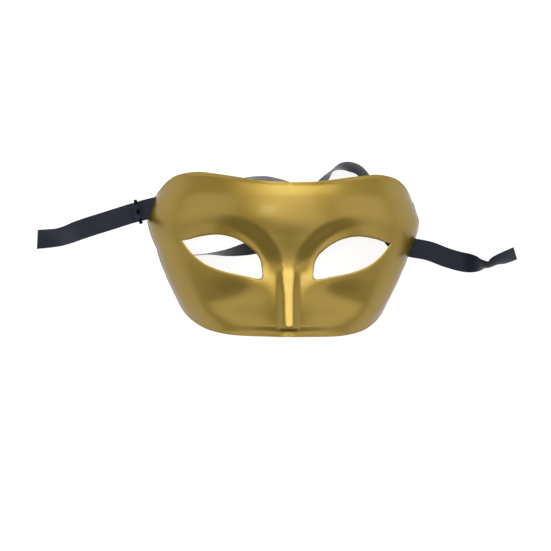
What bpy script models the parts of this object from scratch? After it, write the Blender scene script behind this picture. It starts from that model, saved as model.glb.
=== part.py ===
"""Venetian half mask lying face up, with two satin ribbon ties.

Frame: +Z out of the face, +Y towards the forehead, +X to the right in the front view.
The floor is Z = 0. Each piece is laid out from the mask's mirror plane and the level of its
temple corners, then placed so that the whole object is centred. Everything is in metres.
"""

import math

import bmesh
import bpy
from mathutils import Vector

# Driving sizes of the shell
HALF_WIDTH = 0.0902         # mirror plane to the tip of a temple corner
TOP_RISE = 0.0290           # temple corner up to the highest point of the top edge
CHIN_DROP = 0.0740          # temple corner down to the lowest point of the lower edge
DOME_DEPTH = 0.0600         # floor to the face of the dome at the mirror plane
WALL = 0.0014               # thickness of the plastic
MIRROR_PLANE = 0.0037       # X of the mask's mirror plane, which centres the object on X
TEMPLE_LEVEL = 0.0168       # Y of the temple corners, which centres the object on Y
TEMPLE_FLARE = 0.0038       # how far a temple corner stands out from the side wall
FLARE_REACH = 0.0190        # height of the flared stretch above and below the corner
FLARE_POWER = 1.3  # of the flare's fall with height: 1.0 is a straight fall
RIM_LIFT = 0.0017           # floor to the rim where a ribbon passes below it
REST_SINK = 0.0006          # side wall left below the floor, then cut off flat

# Driving sizes of the face
EYE_LENGTH = 0.0508         # inner edge of an eye hole to its outer corner, along X
EYE_INNER = 0.0161          # mirror plane to the inner edge of an eye hole
EYE_HEIGHT = 0.0270         # lowest to highest point of an eye hole
EYE_BASE = 0.0380           # temple corner down to the lowest point of an eye hole
SOCKET_DEPTH = 0.0043       # brow recess above and beside an eye hole
SOCKET_TILT = 20.0          # degrees that a recess rises towards the temple
BROW_HEIGHT = 0.0006        # swelling of the brow over each recess
BRIDGE_DEPTH = 0.0060       # fall from the brow to the nose bridge
CHEEK_DEPTH = 0.0035        # hollow of the cheek below an eye hole
NOSE_HEIGHT = 0.0205        # nose tip above the dome
NOSE_START = 0.0310         # temple corner down to where the nose ridge begins
NOSE_TIP = 0.0672           # temple corner down to the nose tip
NOSE_END = 0.0035           # length of the step below the tip
NOSE_CREST = 0.0056         # half width of the narrow ridge
NOSE_FOOT = 0.0185          # half width of the nose's foot
NOSE_CREST_SHARE = 0.18  # of the nose's height that the narrow crest adds to the broad foot
NOSE_END_SHARE = 0.12  # of the foot's height that is lost at the nose's lower end
BRIDGE_RUN = 1.10  # of NOSE_START, the run over which the bridge falls from the brow

# Driving sizes of the ribbons
RIBBON_WIDTH = 0.0130
RIBBON_THICK = 0.0010
GAP = 0.0003                # clearance between neighbouring pieces
SLOT_PLAY = 0.0005          # room round a ribbon in its slot
BAR_HEIGHT = 0.0022         # rim bar between the slot and the rim
SLOT_RISE = 0.0075          # temple corner up to the middle of a slot
SEWN_TAIL = 0.0115          # slot to the end of the ribbon's sewn tail
LOOP_CORNER = 0.0009        # bend radius of a loop's corners
LEFT_SLANT = 15.0           # degrees that the left ribbon slants down from the X axis
RIBBON_STEP = 0.0034        # distance between sections of a ribbon
RIBBON_ACROSS = 2           # strips across a ribbon

# How fine the shell is
RINGS = 12                  # rings of faces between an eye hole and the outline
TOP_STEPS = 22              # faces along the top edge of one half
LOWER_STEPS = 30            # faces along the side and lower edge of one half
MIDDLE_STEPS = 26           # faces along the mirror plane
LOWER_EASE = 1.35           # closer faces on the lower edge towards the nose
MIDDLE_EASE = 1.45          # closer faces on the mirror plane towards the nose tip
RING_EASE = 0.07            # closer rings at the eye hole and at the outline

# Dome sections: level up (share of TOP_RISE) or down (share of CHIN_DROP) from the temple
# corner, half width (share of HALF_WIDTH), depth (share of DOME_DEPTH)
DOME = (
    (1.100, 0.890, 0.945),
    (0.760, 0.912, 0.992),
    (0.466, 0.938, 1.025),
    (0.000, 0.957, 1.025),
    (-0.155, 0.947, 0.995),
    (-0.338, 0.911, 0.970),
    (-0.514, 0.856, 0.945),
    (-0.662, 0.798, 0.935),
    (-0.770, 0.751, 0.935),
    (-0.851, 0.706, 0.940),
    (-0.959, 0.638, 0.945),
    (-1.050, 0.590, 0.945),
)

# Top edge from the mirror plane to the temple corner: turn round the dome (share of a right
# angle, 1 is the side rim), level (as in DOME), lift of the side rim (share of RIM_LIFT, 0 rests)
TOP_EDGE = (
    (0.000, 0.755, 1.0),
    (0.137, 0.786, 1.0),
    (0.253, 0.862, 1.0),
    (0.393, 0.952, 1.0),
    (0.508, 1.000, 1.0),
    (0.656, 0.955, 1.0),
    (0.761, 0.847, 1.0),
    (0.878, 0.672, 1.0),
    (0.962, 0.565, 1.0),
    (1.000, 0.485, 1.0),
    (1.000, 0.240, 1.0),
    (1.000, 0.000, 1.0),
)

# Side and lower edge from the temple corner to the mirror plane, same columns
LOWER_EDGE = (
    (1.000, 0.000, 1.0),
    (1.000, -0.155, 1.0),
    (1.000, -0.350, 1.0),
    (1.000, -0.430, 0.0),
    (1.000, -0.550, 0.0),
    (1.000, -0.690, 0.0),
    (0.985, -0.775, 1.0),
    (0.890, -0.851, 1.0),
    (0.770, -0.919, 1.0),
    (0.645, -0.962, 1.0),
    (0.463, -0.992, 1.0),
    (0.309, -1.000, 1.0),
    (0.149, -0.998, 1.0),
    (0.000, -0.997, 1.0),
)

# Eye hole outline in three stretches: along X (share of EYE_LENGTH from the inner edge),
# height (share of EYE_HEIGHT from the lowest point)
UPPER_LID = (
    (0.073, 0.576),
    (0.207, 0.783),
    (0.367, 0.935),
    (0.564, 1.000),
    (0.777, 0.960),
    (0.910, 0.895),
    (1.000, 0.866),
)
LOWER_LID = (
    (1.000, 0.866),
    (0.931, 0.681),
    (0.842, 0.507),
    (0.684, 0.297),
    (0.473, 0.152),
    (0.227, 0.058),
    (0.085, 0.004),
    (0.030, 0.000),
)
INNER_LID = (
    (0.030, 0.000),
    (0.005, 0.050),
    (0.000, 0.160),
    (0.022, 0.409),
    (0.073, 0.576),
)

# Left ribbon beyond its sewn loop: X (share of HALF_WIDTH), Y above the temple corner (share of
# CHIN_DROP), roll in degrees, curl across the ribbon (share of its width)
LEFT_RUN = (
    (-1.305, -0.020, 0.0, 0.00),
    (-1.400, -0.058, 0.0, 0.00),
    (-1.500, -0.101, 4.0, 0.00),
    (-1.640, -0.166, 20.0, 0.03),
    (-1.805, -0.191, 14.0, 0.00),
)

# Right ribbon from its sewn loop, under the mask and round, to its free end: same columns
RIGHT_RUN = (
    (0.797, 0.027, 32.0, 0.00),
    (0.745, 0.041, 60.0, 0.00),
    (0.705, 0.104, 76.0, 0.00),
    (0.676, 0.199, 70.0, 0.00),
    (0.650, 0.293, 62.0, 0.00),
    (0.612, 0.381, 56.0, 0.00),
    (0.541, 0.474, 54.0, 0.05),
    (0.450, 0.500, 58.0, 0.05),
    (0.352, 0.462, 84.0, 0.00),
    (0.292, 0.380, 72.0, 0.00),
    (0.222, 0.310, 74.0, 0.00),
    (0.130, 0.292, 80.0, 0.00),
    (0.050, 0.330, 76.0, 0.00),
    (-0.050, 0.364, 74.0, 0.00),
    (-0.166, 0.383, 74.0, 0.00),
    (-0.333, 0.370, 84.0, 0.00),
    (-0.488, 0.307, 90.0, 0.00),
    (-0.621, 0.165, 90.0, 0.00),
    (-0.715, -0.031, 90.0, 0.00),
    (-0.759, -0.193, 90.0, 0.00),
    (-0.732, -0.285, 90.0, 0.00),
    (-0.662, -0.312, 90.0, 0.00),
    (-0.554, -0.301, 88.0, 0.00),
    (-0.421, -0.288, 72.0, 0.00),
    (-0.300, -0.258, 55.0, 0.00),
    (-0.203, -0.232, 48.0, 0.00),
    (0.000, -0.185, 60.0, 0.00),
    (0.222, -0.112, 78.0, 0.00),
    (0.443, -0.038, 88.0, 0.00),
    (0.643, -0.030, 80.0, 0.00),
    (0.770, -0.100, 48.0, 0.00),
    (0.828, -0.152, 12.0, 0.00),
    (0.880, -0.200, 0.0, 0.00),
    (0.960, -0.220, 0.0, 0.00),
    (1.085, -0.247, 0.0, 0.00),
    (1.221, -0.306, 0.0, 0.00),
    (1.341, -0.344, 6.0, 0.00),
    (1.441, -0.357, 40.0, 0.12),
    (1.517, -0.348, 84.0, 0.25),
    (1.596, -0.320, 118.0, 0.10),
    (1.722, -0.258, 126.0, 0.00),
)


def smooth_step(low, high, value):
    """Ease from 0 at low to 1 at high."""
    share = min(1.0, max(0.0, (value - low) / (high - low)))
    return share * share * (3.0 - 2.0 * share)


def bell(value):
    """Rounded hump that is 1 at 0 and fades out at about 2."""
    return math.exp(-value * value)


def catmull(before, start, end, after, share):
    """Blend four neighbouring rows into a smooth row at a share of the middle span."""
    square = share * share
    cube = square * share
    return tuple(
        0.5 * (2.0 * b + (c - a) * share + (2.0 * a - 5.0 * b + 4.0 * c - d) * square
               + (3.0 * b - a - 3.0 * c + d) * cube)
        for a, b, c, d in zip(before, start, end, after)
    )


def curve_points(rows, per_span):
    """Points of a smooth curve through all rows."""
    first = tuple(2.0 * a - b for a, b in zip(rows[0], rows[1]))
    last = tuple(2.0 * a - b for a, b in zip(rows[-1], rows[-2]))
    padded = (first, *rows, last)
    points = []
    for index in range(len(rows) - 1):
        for step in range(per_span):
            points.append(catmull(*padded[index:index + 4], step / per_span))
    points.append(tuple(rows[-1]))
    return points


def resample(points, places, steps, ease):
    """Rows at equal steps of the way through their places, closer together at the start."""
    way = [0.0]
    for here, there in zip(places, places[1:]):
        way.append(way[-1] + (there - here).length)
    rows = []
    for step in range(steps + 1):
        target = way[-1] * (step / steps) ** ease
        index = 1
        while index < len(way) - 1 and way[index] < target:
            index += 1
        share = (target - way[index - 1]) / (way[index] - way[index - 1])
        rows.append(tuple(a + (b - a) * share for a, b in zip(points[index - 1], points[index])))
    return rows


def level_height(share):
    """Height above the temple corner for a level share."""
    return share * (TOP_RISE if share > 0.0 else CHIN_DROP)


def dome_section(height):
    """Half width and depth of the dome at a height above the temple corner."""
    rows = [(level_height(level), wide, deep) for level, wide, deep in DOME]
    index = 1
    while index < len(rows) - 1 and height < rows[index][0]:
        index += 1
    before = rows[max(0, index - 2)]
    after = rows[min(len(rows) - 1, index + 1)]
    share = (height - rows[index - 1][0]) / (rows[index][0] - rows[index - 1][0])
    _, wide, deep = catmull(before, rows[index - 1], rows[index], after, share)
    return wide * HALF_WIDTH, deep * DOME_DEPTH


def socket_relief(across, height):
    """Brow recess round an eye hole, deepest above it and towards the nose."""
    tilt = math.radians(SOCKET_TILT)
    along_x = across - EYE_INNER - 0.50 * EYE_LENGTH
    along_y = height + EYE_BASE - 0.52 * EYE_HEIGHT
    lengthwise = along_x * math.cos(tilt) + along_y * math.sin(tilt)
    upward = along_y * math.cos(tilt) - along_x * math.sin(tilt)
    radius = math.hypot(lengthwise / (0.75 * EYE_LENGTH), upward / (0.93 * EYE_HEIGHT))
    inside = 1.0 - smooth_step(0.70, 1.08, radius)
    above = smooth_step(-0.45 * EYE_HEIGHT, 0.35 * EYE_HEIGHT, upward)
    outward = 1.0 - 0.80 * smooth_step(-0.35 * EYE_LENGTH, 0.25 * EYE_LENGTH, lengthwise)
    return -SOCKET_DEPTH * inside * (0.2 + 0.8 * above) * outward


def side_relief(across, height):
    """Forms that repeat on both sides of the mirror plane: brow, recess and cheek."""
    brow = BROW_HEIGHT * bell((across - 0.30 * HALF_WIDTH) / (0.27 * HALF_WIDTH))
    brow *= bell((height - 0.17 * TOP_RISE) / (0.28 * TOP_RISE))
    cheek = -CHEEK_DEPTH * bell((across - EYE_INNER - 0.34 * EYE_LENGTH) / (0.30 * EYE_LENGTH))
    cheek *= bell((height + EYE_BASE + 0.50 * EYE_HEIGHT) / (0.33 * EYE_HEIGHT))
    return brow + cheek + socket_relief(across, height)


def hinge(run, ease):
    """Rise that starts at run 0 and goes on straight, eased round its start."""
    return 0.5 * (run + math.sqrt(run * run + ease * ease))


def nose_relief(across, height):
    """Nose: a straight rising ridge on a wider foot, cut off below its tip."""
    run = min(1.0, (-height - NOSE_START) / (NOSE_TIP - NOSE_START))
    end = 1.0 - smooth_step(NOSE_TIP, NOSE_TIP + NOSE_END, -height)
    crest = NOSE_CREST_SHARE * smooth_step(-0.15, 0.45, run) * math.exp(-abs(across / NOSE_CREST) ** 4.0)
    foot = (1.0 - NOSE_CREST_SHARE) * hinge(run, 0.20) * bell(across / NOSE_FOOT)
    return NOSE_HEIGHT * (crest * end + foot * (1.0 - NOSE_END_SHARE * (1.0 - end)))


def relief(across, height):
    """Height of the face's forms above the plain dome."""
    fall = smooth_step(0.0, BRIDGE_RUN * NOSE_START, -height)
    bridge = -BRIDGE_DEPTH * bell(across / NOSE_FOOT) * fall
    sides = side_relief(across, height) + side_relief(-across, height)
    return sides + bridge + nose_relief(across, height)


def shell_point(turn, height):
    """Point of the shell's outer face, from the turn round the dome and the height."""
    angle = turn * math.pi / 2.0
    wide, deep = dome_section(height)
    flare = TEMPLE_FLARE * max(0.0, 1.0 - (abs(height) / FLARE_REACH) ** FLARE_POWER)
    across = wide * math.sin(angle) + flare * math.sin(angle) ** 6
    fade = 1.0 - smooth_step(0.80, 0.97, turn)
    return Vector((across, height, deep * math.cos(angle) + fade * relief(across, height)))


def place_piece(piece):
    """Move a piece from the layout to its place."""
    piece.location.x += MIRROR_PLANE
    piece.location.y += TEMPLE_LEVEL


def rim_turn(height, lift):
    """Turn round the dome at which the side wall reaches its rim."""
    _, deep = dome_section(height)
    rim = lift * RIM_LIFT - (1.0 - lift) * REST_SINK
    return math.acos(rim / deep) * 2.0 / math.pi


def outline_rows(edge):
    """Outline table as turns and heights."""
    rows = []
    for turn, level, lift in edge:
        height = level_height(level)
        rows.append((rim_turn(height, lift) if turn == 1.0 else turn, height))
    return rows


def eye_rows(lid):
    """Eye hole table as turns and heights."""
    rows = []
    for along, up in lid:
        height = -EYE_BASE + up * EYE_HEIGHT
        wide, _ = dome_section(height)
        turn = math.asin((EYE_INNER + along * EYE_LENGTH) / wide) * 2.0 / math.pi
        rows.append((turn, height))
    return rows


def spread(rows, steps, ease):
    """Rows of turn and height along a smooth edge, closer together at its start."""
    points = curve_points(rows, 10)
    places = [shell_point(turn, height) for turn, height in points]
    return resample(points, places, steps, ease)


def outline_loop():
    """Outline of the half shell: top edge, side and lower edge, then the mirror plane."""
    top = outline_rows(TOP_EDGE)
    lower = outline_rows(LOWER_EDGE)
    middle = [(0.0, lower[-1][1] + (top[0][1] - lower[-1][1]) * step / 12) for step in range(13)]
    side = spread(lower[::-1], LOWER_STEPS, LOWER_EASE)[::-1]
    return spread(top, TOP_STEPS, 1.0)[:-1] + side[:-1] + spread(middle, MIDDLE_STEPS, MIDDLE_EASE)[:-1]


def eye_loop():
    """Eye hole outline, split where the outline is split."""
    upper = spread(eye_rows(UPPER_LID), TOP_STEPS, 1.0)
    lower = spread(eye_rows(LOWER_LID), LOWER_STEPS, 1.0)
    inner = spread(eye_rows(INNER_LID), MIDDLE_STEPS, 1.0)
    return upper[:-1] + lower[:-1] + inner[:-1]


def is_near_tip(edge):
    """Whether an edge, laid out by turn and height, is near the tip of the nose."""
    turn, height, _ = (edge.verts[0].co + edge.verts[1].co) / 2.0
    across = dome_section(height)[0] * math.sin(turn * math.pi / 2.0)
    return across < 1.2 * NOSE_FOOT and -height > NOSE_TIP - 3.0 * NOSE_END


def half_shell_mesh():
    """Open right half of the shell's outer face, in rings from the eye hole outwards."""
    eye = eye_loop()
    outline = outline_loop()
    work = bmesh.new()
    rings = []
    for ring in range(RINGS + 1):
        share = ring / RINGS
        share -= RING_EASE * math.sin(2.0 * math.pi * share)
        points = []
        for start, end in zip(eye, outline):
            turn, height = (a + (b - a) * share for a, b in zip(start, end))
            points.append(work.verts.new((turn, height, 0.0)))
        rings.append(points)
    for inner, outer in zip(rings, rings[1:]):
        for index in range(len(eye)):
            after = (index + 1) % len(eye)
            work.faces.new((inner[index], outer[index], outer[after], inner[after]))
    near_tip = [edge for edge in work.edges if is_near_tip(edge)]
    bmesh.ops.subdivide_edges(work, edges=near_tip, cuts=1, use_grid_fill=True)
    for vertex in work.verts:
        vertex.co = shell_point(vertex.co.x, vertex.co.y)
    work.normal_update()
    if sum(face.normal.z for face in work.faces) < 0.0:
        bmesh.ops.reverse_faces(work, faces=work.faces)
    mesh = bpy.data.meshes.new("mask_shell")
    work.to_mesh(mesh)
    work.free()
    return mesh


def finish_material(name, colour, metallic, roughness):
    """Plain material with the colour of the real surface."""
    material = bpy.data.materials.new(name)
    material.use_nodes = True
    shader = material.node_tree.nodes["Principled BSDF"]
    shader.inputs["Base Color"].default_value = (*colour, 1.0)
    shader.inputs["Metallic"].default_value = metallic
    shader.inputs["Roughness"].default_value = roughness
    return material


def slot_height():
    """Height of a slot round one layer of ribbon."""
    return RIBBON_THICK + 2.0 * SLOT_PLAY


def slot_frame(side):
    """Middle of a temple's slot on the wall's outer face, and the wall's outward normal."""
    low = shell_point(1.0, max(0.0, SLOT_RISE - 0.5 * RIBBON_WIDTH))
    high = shell_point(1.0, SLOT_RISE + 0.5 * RIBBON_WIDTH)
    outward = Vector((high.y - low.y, low.x - high.x, 0.0)).normalized()
    middle = shell_point(1.0, SLOT_RISE)
    middle.z = RIM_LIFT + BAR_HEIGHT + 0.5 * slot_height()
    if side < 0.0:
        outward.x = -outward.x
        middle.x = -middle.x
    return middle, outward


def leaving(side):
    """Direction along the floor in which a ribbon's sewn layers leave their slot."""
    if side > 0.0:
        return -slot_frame(side)[1]
    angle = math.radians(LEFT_SLANT)
    return Vector((-math.cos(angle), -math.sin(angle), 0.0))


def ribbon_skew(side):
    """Angle between a ribbon in its slot and the wall's normal there."""
    across = abs(slot_frame(side)[1].dot(leaving(side)))
    return math.acos(min(1.0, across))


def add_cutter(name, size, place, turn, cutters):
    """Box cutter turned about Z."""
    bpy.ops.mesh.primitive_cube_add(size=1.0, location=place, rotation=(0.0, 0.0, turn))
    cutter = bpy.context.object
    cutter.name = name
    cutter.scale = size
    place_piece(cutter)
    cutter.display_type = "WIRE"
    cutter.hide_render = True
    for owner in list(cutter.users_collection):
        owner.objects.unlink(cutter)
    cutters.objects.link(cutter)
    return cutter


def cut(target, cutter):
    """Take a cutter's shape out of a target."""
    modifier = target.modifiers.new(cutter.name, "BOOLEAN")
    modifier.operation = "DIFFERENCE"
    modifier.solver = "EXACT"
    modifier.object = cutter


def build_shell(parts, cutters):
    """The moulded shell: half surface, mirrored, thickened, slotted and cut flat at the floor."""
    shell = bpy.data.objects.new("mask_shell", half_shell_mesh())
    place_piece(shell)
    parts.objects.link(shell)
    mirror = shell.modifiers.new("both halves", "MIRROR")
    mirror.use_axis = (True, False, False)
    mirror.use_clip = True
    mirror.merge_threshold = 0.0001
    wall = shell.modifiers.new("wall", "SOLIDIFY")
    wall.thickness = WALL
    wall.offset = -1.0
    wall.use_even_offset = True
    wall.use_quality_normals = True
    for side, word in ((-1.0, "left"), (1.0, "right")):
        middle, outward = slot_frame(side)
        skew = ribbon_skew(side)
        length = RIBBON_WIDTH / math.cos(skew) + 2.0 * (SLOT_PLAY + 2.0 * WALL * math.tan(skew))
        size = (8.0 * WALL, length, slot_height())
        turn = math.atan2(outward.y, outward.x)
        cut(shell, add_cutter(f"slot_{word}_cutter", size, middle, turn, cutters))
    size = (3.0 * HALF_WIDTH, 3.0 * (TOP_RISE + CHIN_DROP), DOME_DEPTH)
    place = (0.0, 0.0, -0.5 * DOME_DEPTH)
    cut(shell, add_cutter("floor_cutter", size, place, 0.0, cutters))
    shell.data.materials.append(finish_material("gold_paint", (0.36, 0.25, 0.06), 0.9, 0.35))
    shell.data.shade_smooth()


def sewn_loop(side):
    """Centre line of a ribbon's tail, its loop round the rim bar and the layer over the tail."""
    middle, _ = slot_frame(side)
    heading = leaving(side)
    lower = 0.5 * RIBBON_THICK
    upper = lower + RIBBON_THICK + GAP
    slot = middle.z
    slack = 0.5 * RIBBON_WIDTH * math.tan(ribbon_skew(side))
    if side < 0.0:
        back = -WALL / math.cos(ribbon_skew(side)) - slack - 3.0 * SLOT_PLAY
        front = slack + SLOT_PLAY + lower
    else:
        back = LOOP_CORNER - lower - GAP
        front = WALL + GAP + lower
    rows = [(SEWN_TAIL * share, lower) for share in (1.0, 0.75, 0.5, 0.25)]
    rows.append((back + 0.4 * (0.25 * SEWN_TAIL - back), lower))
    for step in range(5):
        angle = step * math.pi / 8.0
        out = LOOP_CORNER * math.sin(angle)
        rows.append((back - out, lower + LOOP_CORNER * (1.0 - math.cos(angle))))
    for step in range(5):
        angle = step * math.pi / 8.0
        out = LOOP_CORNER * math.cos(angle)
        rows.append((back - out, slot - LOOP_CORNER * (1.0 - math.sin(angle))))
    rows.append((0.5 * (back + front), slot))
    rows.append((front, slot))
    rows.append((front + 0.25 * (0.75 * SEWN_TAIL - front), slot + 0.20 * (upper - slot)))
    rows.append((front + 0.75 * (0.75 * SEWN_TAIL - front), slot + 0.80 * (upper - slot)))
    rows.append((0.75 * SEWN_TAIL, upper))
    rows.append((SEWN_TAIL + RIBBON_THICK, upper))
    if side < 0.0:
        rows.append((SEWN_TAIL + 4.0 * RIBBON_THICK, 0.5 * (upper + lower)))
        rows.append((SEWN_TAIL + 7.0 * RIBBON_THICK, lower))
    foot = Vector((middle.x, middle.y, 0.0))
    return [foot + heading * along + Vector((0.0, 0.0, height)) for along, height in rows]


def section_offsets(forward, roll, curl):
    """Offsets of a ribbon's centre surface across its width, and the surface normals there."""
    flat = Vector((-forward.y, forward.x, 0.0)).normalized()
    rise = forward.cross(flat).normalized()
    wide = flat * math.cos(roll) + rise * math.sin(roll)
    face = forward.cross(wide).normalized()
    offsets = []
    for step in range(RIBBON_ACROSS + 1):
        share = step / RIBBON_ACROSS - 0.5
        bow = curl * RIBBON_WIDTH * (1.0 - 4.0 * share * share)
        lean = wide * (8.0 * curl * share) + face
        offsets.append((wide * share * RIBBON_WIDTH + face * bow, lean.normalized()))
    return offsets


def forward_directions(places):
    """Directions of travel along a line of places."""
    last = len(places) - 1
    return [
        (places[min(last, index + 1)] - places[max(0, index - 1)]).normalized()
        for index in range(last + 1)
    ]


def run_stations(start, run):
    """Places, rolls and curls of a ribbon that rests on the floor, beyond its sewn loop."""
    rows = [(place.x, place.y, 0.0, 0.0) for place in start]
    for across, up, roll, curl in run:
        rows.append((across * HALF_WIDTH, up * CHIN_DROP, math.radians(roll), curl))
    points = curve_points(rows, 12)[12:]
    flat = [Vector((point[0], point[1], 0.0)) for point in points]
    length = sum((there - here).length for here, there in zip(flat, flat[1:]))
    points = resample(points, flat, round(length / RIBBON_STEP), 1.0)
    flat = [Vector((point[0], point[1], 0.0)) for point in points]
    stations = []
    for place, forward, point in zip(flat, forward_directions(flat), points):
        roll, curl = point[2:]
        lowest = min(
            offset.z - 0.5 * RIBBON_THICK * abs(face.z)
            for offset, face in section_offsets(forward, roll, curl)
        )
        stations.append((place - Vector((0.0, 0.0, lowest)), roll, curl))
    return stations


def ribbon_mesh(name, side, run):
    """Closed strip of ribbon: sewn loop, then the run over the floor, cut along Y at its end."""
    loop = sewn_loop(side)
    heading = leaving(side)
    stations = run_stations(loop[-2:], run)[1:]
    places = loop + [place for place, _, _ in stations]
    sideways = Vector((-heading.y, heading.x, 0.0))
    forwards = forward_directions(places)
    work = bmesh.new()
    sections = []
    for index, (place, forward) in enumerate(zip(places, forwards)):
        if index < len(loop):
            face = forward.cross(sideways).normalized()
            offsets = [
                (sideways * (step / RIBBON_ACROSS - 0.5) * RIBBON_WIDTH, face)
                for step in range(RIBBON_ACROSS + 1)
            ]
        else:
            _, roll, curl = stations[index - len(loop)]
            offsets = section_offsets(forward, roll, curl)
        to_end = (places[-1] - place).length
        square = max(0.0, 1.0 - to_end / RIBBON_WIDTH)
        ring = []
        for lift in (0.5, -0.5):
            line = []
            for offset, face in offsets:
                shift = forward * (-offset.x / forward.x * square) if square > 0.0 else Vector()
                corner = place + offset + shift + face * lift * RIBBON_THICK
                corner.z = max(0.0, corner.z)
                line.append(work.verts.new(corner))
            ring.extend(line if lift > 0.0 else line[::-1])
        sections.append(ring)
    size = len(sections[0])
    for here, there in zip(sections, sections[1:]):
        for index in range(size):
            after = (index + 1) % size
            work.faces.new((here[index], here[after], there[after], there[index]))
    for ring in (sections[0], sections[-1]):
        for index in range(RIBBON_ACROSS):
            work.faces.new((ring[index], ring[index + 1], ring[size - 2 - index], ring[size - 1 - index]))
    bmesh.ops.recalc_face_normals(work, faces=work.faces)
    mesh = bpy.data.meshes.new(name)
    work.to_mesh(mesh)
    work.free()
    return mesh


def build_ribbon(parts, name, side, run, material):
    """One satin ribbon tie."""
    ribbon = bpy.data.objects.new(name, ribbon_mesh(name, side, run))
    place_piece(ribbon)
    parts.objects.link(ribbon)
    ribbon.data.materials.append(material)
    ribbon.data.shade_smooth()


def main():
    """Build the whole mask."""
    for item in list(bpy.data.objects):
        bpy.data.objects.remove(item, do_unlink=True)
    parts = bpy.data.collections.new("venetian_half_mask")
    cutters = bpy.data.collections.new("cutters")
    bpy.context.scene.collection.children.link(parts)
    bpy.context.scene.collection.children.link(cutters)
    build_shell(parts, cutters)
    satin = finish_material("black_satin", (0.012, 0.013, 0.018), 0.0, 0.5)
    build_ribbon(parts, "ribbon_left", -1.0, LEFT_RUN, satin)
    build_ribbon(parts, "ribbon_right", 1.0, RIGHT_RUN, satin)


main()
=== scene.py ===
"""Studio picture of a venetian half mask lying face up on a pale table.

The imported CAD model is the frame. Every visible piece here rides its body and replaces the CAD
node it stands for. Lengths are in metres, +Z is up and out of the face, +Y is the forehead.
"""

import logging
import math
from dataclasses import dataclass
from enum import Enum
from typing import Iterable, Sequence

import bmesh
import bpy
from mathutils import Matrix, Vector


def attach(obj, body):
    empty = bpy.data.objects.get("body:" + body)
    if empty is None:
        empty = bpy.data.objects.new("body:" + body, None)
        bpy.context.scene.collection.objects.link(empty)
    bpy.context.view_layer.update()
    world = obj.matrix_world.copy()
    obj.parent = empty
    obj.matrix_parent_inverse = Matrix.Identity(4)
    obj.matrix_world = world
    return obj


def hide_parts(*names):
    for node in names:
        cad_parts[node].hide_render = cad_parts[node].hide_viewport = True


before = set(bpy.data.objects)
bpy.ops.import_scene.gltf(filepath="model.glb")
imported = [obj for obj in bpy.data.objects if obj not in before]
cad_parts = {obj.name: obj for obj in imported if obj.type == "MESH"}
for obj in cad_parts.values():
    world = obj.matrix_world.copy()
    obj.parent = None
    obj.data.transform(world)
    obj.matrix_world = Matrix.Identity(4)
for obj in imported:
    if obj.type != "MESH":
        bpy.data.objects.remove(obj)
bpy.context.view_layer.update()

LOG = logging.getLogger("venetian_half_mask")
BODY = "root"

Row = tuple[float, ...]


class Side(Enum):
    """The two sides of the mask, as signs along X."""

    LEFT = -1.0
    RIGHT = 1.0


@dataclass(frozen=True)
class ShellSizes:
    """Driving sizes of the moulded shell, in metres unless said otherwise."""

    half_width: float = 0.0902
    top_rise: float = 0.0290
    chin_drop: float = 0.0740
    depth: float = 0.0600
    wall: float = 0.0014
    mirror_plane: float = 0.0037
    temple_level: float = 0.0168
    flare: float = 0.0038
    flare_reach: float = 0.0190
    rim_lift: float = 0.0017
    rest_sink: float = 0.0006
    lip: float = 0.0006
    lip_width: float = 0.0014
    eye_round: float = 0.0010


@dataclass(frozen=True)
class FaceSizes:
    """Driving sizes of the face's forms."""

    eye_length: float = 0.0508
    eye_inner: float = 0.0161
    eye_height: float = 0.0270
    eye_base: float = 0.0380
    socket_depth: float = 0.0043
    socket_tilt: float = 20.0
    brow_height: float = 0.0006
    bridge_depth: float = 0.0060
    cheek_depth: float = 0.0035
    nose_height: float = 0.0205
    nose_start: float = 0.0310
    nose_tip: float = 0.0672
    nose_end: float = 0.0035
    nose_crest: float = 0.0056
    nose_foot: float = 0.0185


@dataclass(frozen=True)
class RibbonSizes:
    """Driving sizes of the satin ribbons and their slots."""

    width: float = 0.0130
    thick: float = 0.00035
    gap: float = 0.00006
    slot_thick: float = 0.0010
    slot_play: float = 0.0005
    bar: float = 0.0022
    slot_rise: float = 0.0075
    tail: float = 0.0115
    corner: float = 0.0007
    slant: float = 15.0
    step: float = 0.0008
    across: int = 14


SHELL = ShellSizes()
FACE = FaceSizes()
RIBBON = RibbonSizes()

# Dome sections: level up (share of top_rise) or down (share of chin_drop) from the temple
# corner, half width (share of half_width), depth (share of depth)
DOME: tuple[Row, ...] = (
    (1.100, 0.890, 0.945),
    (0.760, 0.912, 0.992),
    (0.466, 0.938, 1.025),
    (0.000, 0.957, 1.025),
    (-0.155, 0.947, 0.995),
    (-0.338, 0.911, 0.970),
    (-0.514, 0.856, 0.945),
    (-0.662, 0.798, 0.935),
    (-0.770, 0.751, 0.935),
    (-0.851, 0.706, 0.940),
    (-0.959, 0.638, 0.945),
    (-1.050, 0.590, 0.945),
)

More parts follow.
